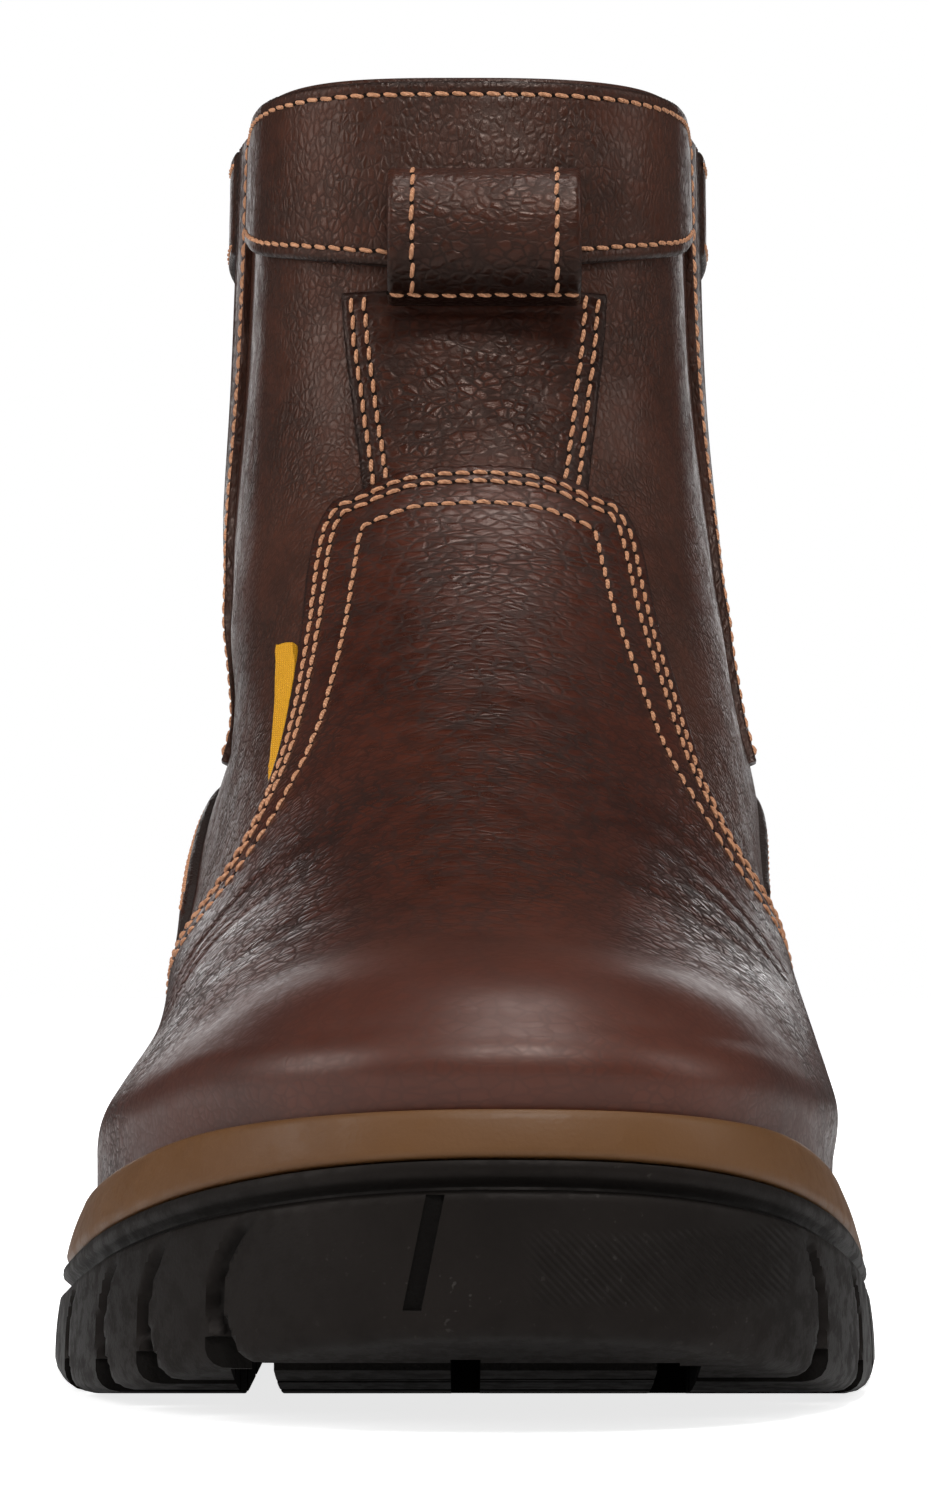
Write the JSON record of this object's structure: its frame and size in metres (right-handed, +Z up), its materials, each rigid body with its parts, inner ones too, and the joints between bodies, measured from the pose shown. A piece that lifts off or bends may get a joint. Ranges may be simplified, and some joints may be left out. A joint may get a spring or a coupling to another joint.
{
  "type": "pull-on work boot",
  "caption": "Ankle-height pull-on leather work boot with a front pull loop, tan midsole band and black lugged rubber sole.",
  "frame": {"origin": "centre of the bounding box at the floor, under the tread", "axes": "+Z up, -Y towards the toe, +X towards the inner (medial) side of this right boot"},
  "size_m": [0.1164, 0.3044, 0.201],
  "materials": {
    "rubber": "matte moulded black rubber",
    "midsole": "smooth satin tan",
    "insole": "woven footbed cover",
    "leather": "dark red-brown pebbled leather",
    "vamp_leather": "red-brown leather, glossier at the toe",
    "tab": "plain yellow woven tab"
  },
  "bodies": {
    "root": {"outsole": "rubber", "midsole": "midsole", "insole": "insole", "upper": "leather", "vamp": "vamp_leather", "counter": "leather", "collar_band_front": "leather", "collar_band_back": "leather", "side_strip_lateral": "leather", "side_strip_medial": "leather", "pull_patch": "leather", "pull_loop": "leather", "side_tab": "tab"}
  },
  "joints": []
}
